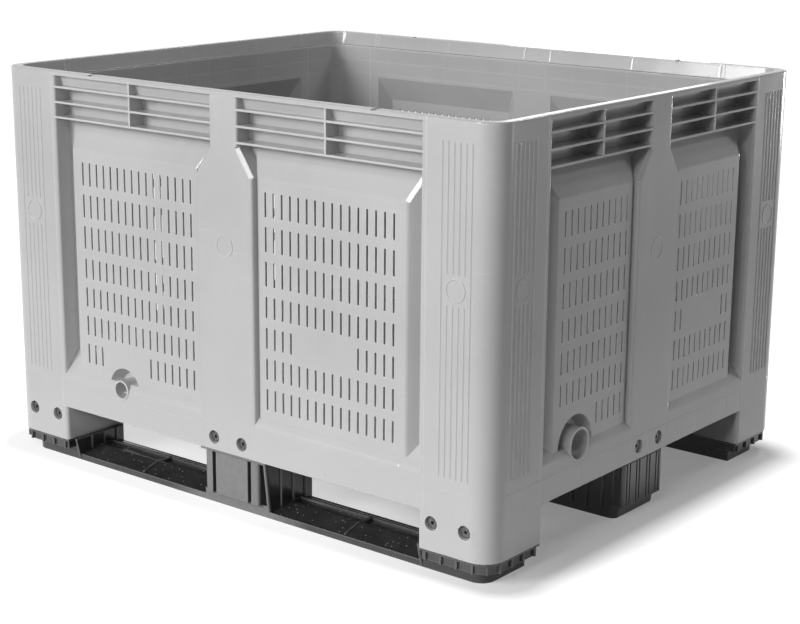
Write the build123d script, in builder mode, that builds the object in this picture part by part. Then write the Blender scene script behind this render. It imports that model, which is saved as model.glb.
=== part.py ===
from build123d import *
import math
import os

os.makedirs("parts", exist_ok=True)

# Plastic bulk container on three screwed runners. Millimetres, Z up, origin on the ground below the centre.
# X runs along the long walls and Y along the short walls; the front wall faces -Y.

# Overall size
LENGTH = 1200.0  # over the corner beads of the short walls
WIDTH = 1000.0  # over the corner beads of the long walls
HEIGHT = 785.0  # ground to the top of the rim

# Levels above the ground
LEG_BOTTOM = 45.0
SKIRT_BOTTOM = 115.0
FLOOR_TOP = 164.0
SILL_HEIGHT = 181.0
PANEL_BOTTOM = 193.0

# Skins of the moulding
SKIN = 4.0
INNER_SKIN = 5.0
WALL_DEPTH = 40.0  # wall face to the inner face
FLOOR_PLATE = 6.0

# Corner posts and legs
POST_WIDTH = 152.0  # along each wall
CORNER_ROUND = 42.0
INNER_ROUND = 30.0
LEG_EDGE_ROUND = 8.0
SEAM_STRIP = 10.0  # width of post face that belongs to the wall piece
WEB_OFFSET = 79.0  # stiffening web inside the post, from the outer corner

# Rim and the ribbed bays under it
RIM_LIP = 8.0
RIM_ROUND = 3.0
BAND_TOP_DEPTH = 17.5  # inner face of the rim band at the top
BAND_LOW_DEPTH = 23.0  # the same at the stacking ledge
BAND_ROUND = 30.0
RIB = 4.0
RIB_PITCH = 29.0
RIB_COUNT = 3
FIRST_RIB = 30.0  # rim top to the middle of the first rib
NOTCH_PLACE = 345.0  # rim notches on the long walls, from the middle
NOTCH_WIDTH = 10.0
NOTCH_DEPTH = 2.5

# Middle post of each wall
NECK_HALF = 34.0
POST_HALF = 69.0
NECK_RISE = 52.0  # height over which the post widens
EDGE_ROUND = 4.5
SHOULDER_FLAT = 4.6  # depth of the flat below the sharp edge of a shoulder
HIP_FLAT = 2.1  # depth of the flat below the sharp upper corner of a panel
FLAT_REACH = 6.0
SILL_ROUND = 16.0

# Bulged slotted panels
PANEL_DEPTH = 9.0  # panel behind the wall face
PANEL_DROP = 147.0  # rim top to panel top
PANEL_STEP = 6.0  # middle post edge to panel edge
PANEL_GAP = 35.0  # corner post edge to panel edge
PANEL_ROUND = 9.0
TOP_RUN = 50.0  # how far each side of the bulge runs out down to the back of the bays
BOTTOM_RUN = 25.0
OUTER_RUN = 22.0
INNER_RUN = 27.0

# Slots
SLOT_WIDTH = 4.4
SLOT_LAND = 2.2  # straight depth behind the panel face
SLOT_FLARE = 40.0  # angle in degrees at which a slot opens to the inside
SLOT_PITCH = 19.4
SLOT_MARGIN = 18.0
LONG_SLOT = 45.5
LONG_PITCH = 62.3
LONG_ROWS = 3
LONG_LEAD = 23.0  # panel top to the first row
SHORT_SLOT = 39.7
SHORT_PITCH = 57.0
SHORT_LEAD = 64.3  # last long row to the first short row
ROW_MARGIN = 12.0
LABEL_COLUMNS = 7  # blank place for a label
LABEL_ROW = 4

# Raised beads and round marks on the posts
BEAD_COUNT = 6
BEAD_PITCH = 12.0
BEAD_WIDTH = 4.0
BEAD_CREST = 1.4
BEAD_HEIGHT = 1.5
BEAD_BOTTOM = 184.0
BEAD_DROP = 36.0  # rim top to the bead tops
BEAD_GAP = 27.0  # half gap in the middle beads at the round mark
MARK_PLACE = 79.0  # outer corner to the middle of the beads
MARK_HEIGHT = 506.0
MARK_DIAMETER = 40.0
MARK_LINE = 1.6
MARK_RELIEF = 0.8

# Drain outlets: place along the wall, height, outer and bore diameter, niche radius, half width free of slots
FRONT_DRAIN_PLACE = -284.0
FRONT_DRAIN_HEIGHT = 181.0
FRONT_DRAIN_OUTER = 39.0
FRONT_DRAIN_BORE = 32.0
FRONT_NICHE = 41.0
FRONT_DRAIN_CLEAR = 56.0
RIGHT_DRAIN_PLACE = -237.0
RIGHT_DRAIN_HEIGHT = 195.0
RIGHT_DRAIN_OUTER = 62.0
RIGHT_DRAIN_BORE = 54.0
RIGHT_NICHE = 53.0
RIGHT_DRAIN_CLEAR = 64.0
NICHE_DRAW = 11.0  # how much the niche narrows towards its back
NICHE_BACK = 33.0  # depth of the niche back
DRAIN_PROUD = 1.2  # tube mouth in front of the wall face

# Mould parting line
PARTING_HEIGHT = 160.0
PARTING_WIDTH = 1.0
PARTING_RELIEF = 0.3

# Skirt pockets and floor grid
SKIRT_RIB_PITCH = 58.0
GRID_PITCH = 93.0
FLOOR_SLOT = 46.0
FLOOR_SLOT_PITCH = 31.0

# Screws and their seats
SCREW_SEAT = 34.0
SEAT_DEPTH = 12.0
RECESS_DIAMETER = 26.0
RECESS_DEPTH = 8.5
SCREW_DIAMETER = 8.0
SCREW_CLEARANCE = 0.4
SCREW_LENGTH = 23.0
HEAD_DIAMETER = 22.0
HEAD_HEIGHT = 4.0
HEAD_ROUND = 1.5
SOCKET_WIDTH = 6.0
SOCKET_DEPTH = 4.5
LEG_SCREW_HEIGHT = 94.5
LEG_SCREW_NEAR = 53.0  # from the outer corner
LEG_SCREW_FAR = 123.0
POST_SCREW_HEIGHT = 139.0
POST_SCREW_HALF = 35.0

# Runners
RUNNER_INSET = 23.0  # base behind the wall face
RUNNER_END = 25.0  # base end behind the short wall face
RUNNER_WIDTH = 116.0
CENTRE_WIDTH = 140.0
SKID_LIP = 12.0
SKID_LIP_WIDTH = 6.0
SKID_HEIGHT = 23.0
SKID_OUTER_SLOPE = 39.0
SKID_INNER_SLOPE = 25.0
POCKET_DEPTH = 5.0
POCKET_LENGTH = 150.0
POCKET_WALL = 6.0
RIDGE_HEIGHT = 2.0
RIDGE_WIDTH = 4.0
BASE_ROUND = 28.0
BASE_HEIGHT = 24.0
FOOT_WALL = 5.0
FOOT_FLOOR = 8.0
FLANGE_LIP = 5.0
FLANGE_INSET = 2.0
FLANGE_RECESS = 4.0
FLANGE_RIB = 4.0
FLANGE_RIB_FIRST = 37.0
FLANGE_RIB_PITCH = 33.5
FLANGE_RIB_COUNT = 4
FLANGE_BACK = 150.0  # depth of the flange behind the wall face
PLUG_TOP = 110.0
PLUG_GAP = 1.5
PLUG_SEAT_GAP = 0.3
SCREW_BOSS = 20.0
PLATE_DEPTH = 9.0
PLATE_HALF = 69.0
PLATE_ROUND = 8.0
FOOT_HALF = 84.0
FOOT_ROUND = 6.0
END_FOOT_BACK = 150.0
END_FOOT_ROUND = 14.0
TONGUE_TOP = 156.0
GROOVE_DEPTH = 9.0
WIDE_GROOVE = 9.0
WIDE_GROOVE_PLACES = (-45.0, 45.0)
NARROW_GROOVE = 4.0
NARROW_GROOVE_PLACES = (-56.0, -46.0, -23.0, -13.0, 13.0, 23.0, 46.0, 56.0)
PLATE_LIP = 9.0  # lip above the plate
FIN = 5.0  # side plates of the feet
FIN_REACH = 10.5  # corner foot side plate beyond the leg
SIDE_RIB = 4.0
SIDE_RIB_RELIEF = 3.0
SIDE_RIB_FIRST = 53.0
SIDE_RIB_PITCH = 33.0
SIDE_RIB_COUNT = 3

# Worked out from the sizes above
FACE_X = LENGTH / 2 - BEAD_HEIGHT
FACE_Y = WIDTH / 2 - BEAD_HEIGHT
SPAN_X = FACE_X - POST_WIDTH  # half the opening between the posts of a long wall
SPAN_Y = FACE_Y - POST_WIDTH
RIM_BOTTOM = HEIGHT - RIM_LIP
LEDGE = HEIGHT - FIRST_RIB + RIB / 2
BAY_DEPTH = WALL_DEPTH - INNER_SKIN
BULGE = BAY_DEPTH - PANEL_DEPTH
PANEL_TOP = HEIGHT - PANEL_DROP
LAST_RIB = HEIGHT - FIRST_RIB - RIB_PITCH * (RIB_COUNT - 1)
BEAD_TOP = HEIGHT - BEAD_DROP
PANEL_IN = POST_HALF + PANEL_STEP
SILL_SLOPE = (PANEL_BOTTOM - SILL_HEIGHT) / PANEL_DEPTH
CORE_HALF = POST_HALF - SKIN
FLOOR_BOTTOM = FLOOR_TOP - FLOOR_PLATE
SCREW_HOLE = SCREW_DIAMETER + SCREW_CLEARANCE

# Wall faces: x along the wall to the right as seen from outside, y up, normal outward
FRONT = Plane(origin=(0, -FACE_Y, 0), x_dir=(1, 0, 0), z_dir=(0, -1, 0))
RIGHT = Plane(origin=(FACE_X, 0, 0), x_dir=(0, 1, 0), z_dir=(1, 0, 0))
BACK = Plane(origin=(0, FACE_Y, 0), x_dir=(-1, 0, 0), z_dir=(0, 1, 0))
LEFT = Plane(origin=(-FACE_X, 0, 0), x_dir=(0, -1, 0), z_dir=(-1, 0, 0))


def section(face, place):
    """Upright plane across a wall: x is the depth behind the face, y is the height."""
    return Plane(origin=face.origin + face.x_dir * place, x_dir=-face.z_dir, z_dir=face.x_dir)


def level(face, height):
    """Flat plane at a height: x runs along the wall, y is the depth behind the face."""
    return Plane(origin=face.origin + Vector(0, 0, height), x_dir=face.x_dir, z_dir=(0, 0, 1))


def span(first, last, low, high):
    """Draws a rectangle between two pairs of bounds, given in either order."""
    with Locations(((first + last) / 2, (low + high) / 2)):
        Rectangle(abs(last - first), abs(high - low))


def wall_point(face, along, height, depth):
    """A point of a wall, given along it, by height and by depth behind the face."""
    return face.origin + face.x_dir * along + Vector(0, 0, height) - face.z_dir * depth


def edge_flat(start, end, outward, depth):
    """Cuts a flat along a straight edge, at a depth below it and square to a direction."""
    run = end - start
    with BuildSketch(Plane(origin=start - outward * depth, x_dir=run, z_dir=outward)) as strip:
        span(0, run.length, -FLAT_REACH, FLAT_REACH)
    extrude(strip.sketch, amount=FLAT_REACH, mode=Mode.SUBTRACT)


def block(face, along, depth, height, mode=Mode.ADD):
    """Adds or cuts a box given by its bounds along the wall, in depth and in height."""
    with BuildSketch(level(face, height[0])) as outline:
        span(*along, *depth)
    extrude(outline.sketch, amount=height[1] - height[0], mode=mode)


def rail(face, along, profile, mode=Mode.ADD):
    """Adds or cuts a bar along the wall with a section given as depths and heights."""
    start, end = sorted(along)
    with BuildSketch(section(face, start)) as outline:
        Polygon(*profile, align=None)
    extrude(outline.sketch, amount=end - start, mode=mode)


def disc(face, places, diameter, depth, mode=Mode.ADD):
    """Adds or cuts round bars square to the wall between two depths."""
    with BuildSketch(face.offset(-depth[0])) as outline:
        with Locations(*places):
            Circle(diameter / 2)
    extrude(outline.sketch, amount=depth[0] - depth[1], mode=mode)


def save(part, name):
    """Names a finished piece and writes it."""
    part.label = name
    export_step(part, f"parts/{name}.step")


def screw_seats(face, places):
    """Seats for screws: a boss behind the face, a round recess for the head and a hole."""
    disc(face, places, SCREW_SEAT, (0, SEAT_DEPTH))
    disc(face, places, RECESS_DIAMETER, (0, RECESS_DEPTH), Mode.SUBTRACT)
    disc(face, places, SCREW_HOLE, (0, SEAT_DEPTH), Mode.SUBTRACT)


def round_mark(face, place):
    """A raised ring on a post face."""
    with BuildSketch(face) as ring:
        with Locations((place, MARK_HEIGHT)):
            Circle(MARK_DIAMETER / 2)
            Circle(MARK_DIAMETER / 2 - MARK_LINE, mode=Mode.SUBTRACT)
    extrude(ring.sketch, amount=MARK_RELIEF)


def cavity(grow, low, high):
    """The loading space inside the walls, grown into the walls by an amount."""
    with BuildPart() as space:
        with BuildSketch(Plane.XY.offset(low)):
            RectangleRounded(
                2 * (FACE_X - WALL_DEPTH + grow),
                2 * (FACE_Y - WALL_DEPTH + grow),
                INNER_ROUND + grow,
            )
        extrude(amount=high - low)
    return space.part


def rim_opening():
    """The wider opening above the stacking ledge, drawn outward towards the rim."""
    draw = BAND_LOW_DEPTH - BAND_TOP_DEPTH
    with BuildPart() as opening:
        with BuildSketch(Plane.XY.offset(LEDGE)):
            RectangleRounded(2 * (FACE_X - BAND_LOW_DEPTH), 2 * (FACE_Y - BAND_LOW_DEPTH), BAND_ROUND)
        extrude(amount=HEIGHT - LEDGE, taper=-math.degrees(math.atan2(draw, HEIGHT - LEDGE)))
    return opening.part


def panel_form(face, side, panel_out, near, far, inset):
    """The bulged panel between two depths, with each slope drawn in square to itself by the inset."""

    def edge(start, run, depth, outward):
        slope = run / BULGE
        return start + outward * (slope * (depth - PANEL_DEPTH) - inset * math.hypot(1, slope))

    upright = []
    flat = []
    for depth in (near, far):
        upright.append((depth, edge(PANEL_BOTTOM, BOTTOM_RUN, depth, -1)))
        upright.append((depth, edge(PANEL_TOP, TOP_RUN, depth, 1)))
        flat.append((side * edge(PANEL_IN, INNER_RUN, depth, -1), depth))
        flat.append((side * edge(panel_out, OUTER_RUN, depth, 1), depth))
    reach = panel_out + POST_WIDTH
    with BuildPart() as form:
        with BuildSketch(section(face, -reach)):
            Polygon(upright[0], upright[1], upright[3], upright[2], align=None)
        extrude(amount=2 * reach)
        with BuildSketch(level(face, 0)):
            Polygon(flat[0], flat[1], flat[3], flat[2], align=None)
        extrude(amount=HEIGHT, mode=Mode.INTERSECT)
        outward = Axis(face.origin, face.z_dir)
        back_edges = form.faces().sort_by(outward)[0].edges()
        rounding = PANEL_ROUND - inset
        fillet([edge for edge in form.edges() if edge not in back_edges], rounding)
    return form.part


def slot_rows():
    """Slot length and middle height of each row, from the top of the panel down."""
    rows = []
    top = PANEL_TOP - LONG_LEAD
    for row in range(LONG_ROWS):
        rows.append((LONG_SLOT, top - row * LONG_PITCH - LONG_SLOT / 2))
    top -= (LONG_ROWS - 1) * LONG_PITCH + SHORT_LEAD
    while top - SHORT_SLOT > PANEL_BOTTOM + ROW_MARGIN:
        rows.append((SHORT_SLOT, top - SHORT_SLOT / 2))
        top -= SHORT_PITCH
    return rows


def slot_places(side, panel_out, drain, label):
    """Slot middles on one panel, sorted by slot length, clear of the drain and of the label place."""
    columns = int((panel_out - PANEL_IN - 2 * SLOT_MARGIN) / SLOT_PITCH) + 1
    label_first = (columns - LABEL_COLUMNS) // 2
    places = {LONG_SLOT: [], SHORT_SLOT: []}
    for row, (length, height) in enumerate(slot_rows()):
        for column in range(columns):
            place = side * (PANEL_IN + SLOT_MARGIN + column * SLOT_PITCH)
            at_label = label_first <= column < label_first + LABEL_COLUMNS
            if label and row == LABEL_ROW and at_label:
                continue
            if drain:
                low = height - length / 2 < drain["height"] + drain["clear"]
                if low and abs(place - drain["place"]) < drain["clear"]:
                    continue
            places[length].append((place, height))
    return places


def slot_space(length):
    """The space of one slot: straight at the panel face, then opening to the inside to spare the load."""
    with BuildPart() as space:
        with BuildSketch(Plane.XY) as outline:
            SlotOverall(length, SLOT_WIDTH, rotation=90)
        extrude(amount=-SLOT_LAND)
        inner = outline.sketch.moved(Location((0, 0, -SLOT_LAND)))
        extrude(inner, amount=SLOT_LAND - SKIN, taper=-SLOT_FLARE)
    return space.part


def niche_outline(drain, radius):
    """Draws an arch round a drain outlet, open downward to the sill."""
    with Locations((drain["place"], drain["height"])):
        Circle(radius)
    span(drain["place"] - radius, drain["place"] + radius, PANEL_BOTTOM - BOTTOM_RUN, drain["height"])


def niche_space(face, drain):
    """The hollow of an arched niche, narrowing to its back, above the sill and level with its crest."""
    mouth_radius = drain["niche"] + NICHE_DRAW * PANEL_DEPTH / (NICHE_BACK - PANEL_DEPTH)
    low = PANEL_BOTTOM - BOTTOM_RUN - drain["niche"]
    with BuildPart() as space:
        with BuildSketch(face):
            niche_outline(drain, mouth_radius)
        with BuildSketch(face.offset(-NICHE_BACK)):
            niche_outline(drain, drain["niche"] - NICHE_DRAW)
        loft()
        floor = [
            (0, low),
            (0, SILL_HEIGHT),
            (PANEL_DEPTH, PANEL_BOTTOM),
            (NICHE_BACK, PANEL_BOTTOM),
            (NICHE_BACK, low),
        ]
        reach = 2 * mouth_radius
        rail(face, (drain["place"] - reach, drain["place"] + reach), floor, Mode.SUBTRACT)
    return space.part


def drain_outlet(face, drain, space):
    """A tube in an arched niche at the foot of a panel."""
    middle = [(drain["place"], drain["height"])]
    with BuildSketch(face.offset(-PANEL_DEPTH)) as jacket:
        niche_outline(drain, drain["niche"] + SKIN)
    extrude(jacket.sketch, amount=PANEL_DEPTH - WALL_DEPTH)
    add(space, mode=Mode.SUBTRACT)
    disc(face, middle, drain["outer"], (-DRAIN_PROUD, WALL_DEPTH))
    disc(face, middle, drain["bore"], (-DRAIN_PROUD, WALL_DEPTH), Mode.SUBTRACT)


def skirt_pockets(face, side, half_span):
    """Hollows the skirt from below, leaving upright ribs."""
    bottom_slope = BOTTOM_RUN / BULGE
    sill_under = SILL_HEIGHT + SILL_SLOPE * SKIN - SKIN * math.hypot(1, SILL_SLOPE)
    crest = PANEL_BOTTOM - SKIN * math.hypot(1, SILL_SLOPE)
    inner_top = PANEL_BOTTOM - BOTTOM_RUN - SKIN * math.hypot(1, bottom_slope)
    profile = [
        (SKIN, SKIRT_BOTTOM),
        (SKIN, sill_under),
        (PANEL_DEPTH, crest),
        (BAY_DEPTH, inner_top),
        (BAY_DEPTH, SKIRT_BOTTOM),
    ]
    first = POST_HALF + SKIN
    room = half_span - first
    count = max(1, round(room / SKIRT_RIB_PITCH))
    pitch = room / count
    for pocket in range(count):
        start = first + pocket * pitch
        end = start + pitch - RIB
        rail(face, (side * start, side * end), profile, Mode.SUBTRACT)


def wall(name, face, half_span, drain=None, notched=False):
    """One wall between the corner posts: rim, ribbed bays, bulged slotted panels, middle post and skirt."""
    panel_out = half_span - PANEL_GAP
    half = half_span + SEAM_STRIP
    rib_bottom = LAST_RIB - RIB / 2
    bay_middle = (NECK_HALF + half_span) / 2
    sill_base = SILL_HEIGHT - SILL_ROUND / 2
    windows = [panel_form(face, s, panel_out, PANEL_DEPTH + SKIN, WALL_DEPTH, SKIN) for s in (-1, 1)]
    bulges = [panel_form(face, s, panel_out, PANEL_DEPTH, WALL_DEPTH, 0) for s in (-1, 1)]
    opening = rim_opening()
    niche = niche_space(face, drain) if drain else None
    slots = {length: slot_space(length) for length in (LONG_SLOT, SHORT_SLOT)}
    top_bay = [
        (0, LEDGE - RIB),
        (0, RIM_BOTTOM),
        (BAND_TOP_DEPTH - SKIN, RIM_BOTTOM),
        (BAND_LOW_DEPTH - SKIN, LEDGE - RIB),
    ]
    with BuildPart() as body:
        block(face, (-half, half), (0, WALL_DEPTH), (SKIRT_BOTTOM, HEIGHT))
        outward = Axis(face.origin, face.z_dir)
        fillet(body.edges().group_by(Axis.Z)[-1].sort_by(outward)[-1], RIM_ROUND)
        # Open the bays and the panel places down to the inner skin, round the edges of the posts
        for side in (-1, 1):
            rail(face, (side * NECK_HALF, side * half_span), top_bay, Mode.SUBTRACT)
        with BuildSketch(face):
            for side in (-1, 1):
                Polygon(
                    (side * NECK_HALF, LEDGE - RIB),
                    (side * NECK_HALF, PANEL_TOP + NECK_RISE),
                    (side * POST_HALF, PANEL_TOP),
                    (side * POST_HALF, sill_base),
                    (side * half_span, sill_base),
                    (side * half_span, LEDGE - RIB),
                    align=None,
                )
        extrude(amount=-BAY_DEPTH, mode=Mode.SUBTRACT)
        face_edges = body.faces().sort_by(outward)[-1].edges()
        post_edges = face_edges.filter_by(
            lambda e: SILL_HEIGHT < e.center().Z < RIM_BOTTOM
            and abs((e.center() - face.origin).dot(face.x_dir)) < half - RIB
        )
        fillet(post_edges, EDGE_ROUND)
        # Ribs of the bays
        for side in (-1, 1):
            for rib in range(RIB_COUNT):
                middle = HEIGHT - FIRST_RIB - rib * RIB_PITCH
                block(
                    face,
                    (side * (NECK_HALF - RIB), side * (half_span + RIB)),
                    (0, BAY_DEPTH),
                    (middle - RIB / 2, middle + RIB / 2),
                )
            upright = side * bay_middle
            block(
                face,
                (upright - RIB / 2, upright + RIB / 2),
                (0, BAY_DEPTH),
                (rib_bottom, RIM_BOTTOM),
            )
            # Sill with a rounded edge, run into the rounded edges of the posts
            sill_ends = (side * (POST_HALF - EDGE_ROUND), side * (half_span + EDGE_ROUND))
            with BuildSketch(section(face, min(sill_ends))) as sill:
                Polygon(
                    (0, sill_base),
                    (0, SILL_HEIGHT),
                    (BAY_DEPTH, SILL_HEIGHT + SILL_SLOPE * BAY_DEPTH),
                    (BAY_DEPTH, sill_base),
                    align=None,
                )
                fillet(sill.vertices().sort_by(Axis.X)[:2].sort_by(Axis.Y)[-1], SILL_ROUND)
            extrude(amount=max(sill_ends) - min(sill_ends))
        add(opening, mode=Mode.SUBTRACT)
        for bulge in bulges:
            add(bulge)
        for window in windows:
            add(window, mode=Mode.SUBTRACT)
        # Flats on the shoulders of the middle post and on the outer upper corners of the panels
        for side in (-1, 1):
            neck = wall_point(face, side * NECK_HALF, PANEL_TOP + NECK_RISE, 0)
            shoulder = wall_point(face, side * POST_HALF, PANEL_TOP, 0)
            sideways = face.x_dir * (side * NECK_RISE) + Vector(0, 0, POST_HALF - NECK_HALF)
            edge_flat(neck, shoulder, (face.z_dir + sideways.normalized()).normalized(), SHOULDER_FLAT)
            corner = wall_point(face, side * panel_out, PANEL_TOP, PANEL_DEPTH)
            foot = wall_point(face, side * (panel_out + OUTER_RUN), PANEL_TOP + TOP_RUN, BAY_DEPTH)
            upward = face.z_dir * TOP_RUN + Vector(0, 0, BULGE)
            aside = face.z_dir * OUTER_RUN + face.x_dir * (side * BULGE)
            stop = foot - (foot - corner).normalized() * FLAT_REACH
            edge_flat(corner, stop, (upward.normalized() + aside.normalized()).normalized(), HIP_FLAT)
        # Hollow middle post, open below
        core_turn = PANEL_DEPTH + BULGE * (PANEL_IN - CORE_HALF) / INNER_RUN
        with BuildSketch(level(face, SKIRT_BOTTOM)):
            Polygon(
                (-CORE_HALF, SKIN),
                (CORE_HALF, SKIN),
                (CORE_HALF, core_turn),
                (PANEL_IN - INNER_RUN, BAY_DEPTH),
                (INNER_RUN - PANEL_IN, BAY_DEPTH),
                (-CORE_HALF, core_turn),
                align=None,
            )
        extrude(amount=PANEL_TOP - SKIN - SKIRT_BOTTOM, mode=Mode.SUBTRACT)
        neck_core = NECK_HALF - SKIN
        block(
            face,
            (-neck_core, neck_core),
            (SKIN, BAY_DEPTH),
            (PANEL_TOP - 2 * SKIN, LEDGE - RIB),
            Mode.SUBTRACT,
        )
        for side in (-1, 1):
            # Hollow of the corner post behind the strip of its face
            block(
                face,
                (side * (half_span + SKIN), side * half),
                (SKIN, BAY_DEPTH),
                (SKIRT_BOTTOM, LEDGE - RIB),
                Mode.SUBTRACT,
            )
            skirt_pockets(face, side, half_span)
        block(
            face,
            (-half, half),
            (-PARTING_RELIEF, SKIN),
            (PARTING_HEIGHT - PARTING_WIDTH / 2, PARTING_HEIGHT + PARTING_WIDTH / 2),
        )
        if drain:
            drain_outlet(face, drain, niche)
        screw_seats(face, post_screw_places())
        round_mark(face, 0)
        if notched:
            for side in (-1, 1):
                place = side * NOTCH_PLACE
                block(
                    face,
                    (place - NOTCH_WIDTH / 2, place + NOTCH_WIDTH / 2),
                    (0, BAND_TOP_DEPTH),
                    (HEIGHT - NOTCH_DEPTH, HEIGHT),
                    Mode.SUBTRACT,
                )
        # Slots of both panels in one cut for each slot length
        left_places = slot_places(-1, panel_out, drain, False)
        right_places = slot_places(1, panel_out, None, True)
        for length, space in slots.items():
            with Locations(face.offset(-PANEL_DEPTH)):
                with Locations(*left_places[length], *right_places[length]):
                    add(space, mode=Mode.SUBTRACT)
    save(body.part, name)


def bead_row(face, beads, middle, low, high):
    """Raised upright beads on a post face between two heights."""
    with BuildSketch(level(face, low)) as outline:
        for bead in beads:
            place = middle + (bead - (BEAD_COUNT - 1) / 2) * BEAD_PITCH
            Polygon(
                (place - BEAD_WIDTH / 2, 0),
                (place - BEAD_CREST / 2, -BEAD_HEIGHT),
                (place + BEAD_CREST / 2, -BEAD_HEIGHT),
                (place + BEAD_WIDTH / 2, 0),
                align=None,
            )
    extrude(outline.sketch, amount=high - low)


def corner_post(name, end, row):
    """A corner post with its leg. End is -1 left or 1 right, row is -1 front or 1 back."""
    long_face = FRONT if row < 0 else BACK
    short_face = RIGHT if end > 0 else LEFT
    long_side = -row * end
    short_side = row * end
    seam_x = SPAN_X + SEAM_STRIP
    seam_y = SPAN_Y + SEAM_STRIP
    corner = Axis((0, 0, 0), (end, row, 0))
    with BuildPart() as core:
        with BuildSketch(Plane.XY.offset(SKIRT_BOTTOM)) as outline:
            span(end * seam_x, end * (FACE_X - SKIN), row * seam_y, row * (FACE_Y - SKIN))
            fillet(outline.vertices().sort_by(corner)[-1], CORNER_ROUND - SKIN)
        extrude(amount=LEDGE - RIB - SKIRT_BOTTOM)
        add(cavity(INNER_SKIN, SKIRT_BOTTOM, LEDGE), mode=Mode.SUBTRACT)
        # Webs that tie the inner skin to the outer skin
        for face, half, side in ((long_face, FACE_X, long_side), (short_face, FACE_Y, short_side)):
            web = side * (half - WEB_OFFSET)
            block(
                face,
                (web - RIB / 2, web + RIB / 2),
                (0, WALL_DEPTH),
                (SKIRT_BOTTOM, LEDGE),
                Mode.SUBTRACT,
            )
    with BuildPart() as body:
        with BuildSketch(Plane.XY.offset(LEG_BOTTOM)):
            span(end * SPAN_X, end * FACE_X, row * SPAN_Y, row * FACE_Y)
        extrude(amount=SKIRT_BOTTOM - LEG_BOTTOM)
        with BuildSketch(Plane.XY.offset(SKIRT_BOTTOM)):
            span(end * seam_x, end * FACE_X, row * seam_y, row * FACE_Y)
        extrude(amount=HEIGHT - SKIRT_BOTTOM)
        leg_edges = body.edges().filter_by(Axis.Z).filter_by(lambda e: e.center().Z < SKIRT_BOTTOM)
        fillet(leg_edges.sort_by(corner)[-2:], LEG_EDGE_ROUND)
        fillet(body.edges().filter_by(Axis.Z).group_by(corner)[-1], CORNER_ROUND)
        fillet(body.edges().group_by(Axis.Z)[-1].sort_by(corner)[-3:], RIM_ROUND)
        # Mould parting line round the post
        with BuildSketch(Plane.XY.offset(PARTING_HEIGHT - PARTING_WIDTH / 2)) as line:
            grown_x = FACE_X + PARTING_RELIEF
            grown_y = FACE_Y + PARTING_RELIEF
            span(end * seam_x, end * grown_x, row * seam_y, row * grown_y)
            fillet(line.vertices().sort_by(corner)[-1], CORNER_ROUND + PARTING_RELIEF)
        extrude(amount=PARTING_WIDTH)
        add(cavity(0, SKIRT_BOTTOM, LEDGE), mode=Mode.SUBTRACT)
        add(rim_opening(), mode=Mode.SUBTRACT)
        with BuildSketch(Plane.XY.offset(LEG_BOTTOM)) as hollow:
            span(end * (SPAN_X + SKIN), end * (FACE_X - SKIN), row * (SPAN_Y + SKIN), row * (FACE_Y - SKIN))
            fillet(hollow.vertices().sort_by(corner)[-1], CORNER_ROUND - SKIN)
        extrude(amount=SKIRT_BOTTOM - LEG_BOTTOM, mode=Mode.SUBTRACT)
        add(core.part, mode=Mode.SUBTRACT)
        for face, half, side in ((long_face, FACE_X, long_side), (short_face, FACE_Y, short_side)):
            middle = side * (half - MARK_PLACE)
            bead_row(face, (0, BEAD_COUNT - 1), middle, BEAD_BOTTOM, BEAD_TOP)
            bead_row(face, range(1, BEAD_COUNT - 1), middle, BEAD_BOTTOM, MARK_HEIGHT - BEAD_GAP)
            bead_row(face, range(1, BEAD_COUNT - 1), middle, MARK_HEIGHT + BEAD_GAP, BEAD_TOP)
            round_mark(face, middle)
        screw_seats(long_face, leg_screw_places(long_side))
    save(body.part, name)


def leg_screw_places(side):
    """Where the two screws of a leg sit on its long wall face."""
    return [
        (side * (FACE_X - LEG_SCREW_NEAR), LEG_SCREW_HEIGHT),
        (side * (FACE_X - LEG_SCREW_FAR), LEG_SCREW_HEIGHT),
    ]


def post_screw_places():
    """Where the two screws at the foot of a middle post sit on its wall face."""
    return [(-POST_SCREW_HALF, POST_SCREW_HEIGHT), (POST_SCREW_HALF, POST_SCREW_HEIGHT)]


def skid(start, width, outer_slope, inner_slope):
    """Section of a skid: lips at both edges and slopes up to a flat crown."""
    return [
        (start, 0),
        (start, SKID_LIP),
        (start + SKID_LIP_WIDTH, SKID_LIP),
        (start + SKID_LIP_WIDTH + outer_slope, SKID_HEIGHT),
        (start + width - SKID_LIP_WIDTH - inner_slope, SKID_HEIGHT),
        (start + width - SKID_LIP_WIDTH, SKID_LIP),
        (start + width, SKID_LIP),
        (start + width, 0),
    ]


def skid_pockets(face, along, depth):
    """Rows of shallow pockets in the crown of a skid, with cross ribs between them."""
    start, end = sorted(along)
    count = int((end - start - POCKET_WALL) / (POCKET_LENGTH + POCKET_WALL))
    pitch = (end - start - POCKET_WALL) / count
    for pocket in range(count):
        first = start + POCKET_WALL + pocket * pitch
        block(
            face,
            (first, first + pitch - POCKET_WALL),
            (depth[0] + POCKET_WALL, depth[1] - POCKET_WALL),
            (SKID_HEIGHT - POCKET_DEPTH, SKID_HEIGHT),
            Mode.SUBTRACT,
        )


def screw_bosses(face, places, front):
    """Bosses behind a plug or tongue that take the screw threads."""
    reach = RECESS_DEPTH + SCREW_LENGTH + PLUG_GAP
    disc(face, places, SCREW_BOSS, (front, reach))
    disc(face, places, SCREW_HOLE, (front, reach), Mode.SUBTRACT)


def rounded_block(face, along, depth, height, radius, mode=Mode.ADD):
    """A box whose outer end is rounded at the wall side. Along runs from the inner end to the outer end."""
    outward = Axis((0, 0, 0), (math.copysign(1, along[1]), -1, 0))
    with BuildSketch(level(face, height[0])) as outline:
        span(*along, *depth)
        fillet(outline.vertices().sort_by(outward)[-1], radius)
    extrude(outline.sketch, amount=height[1] - height[0], mode=mode)


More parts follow.
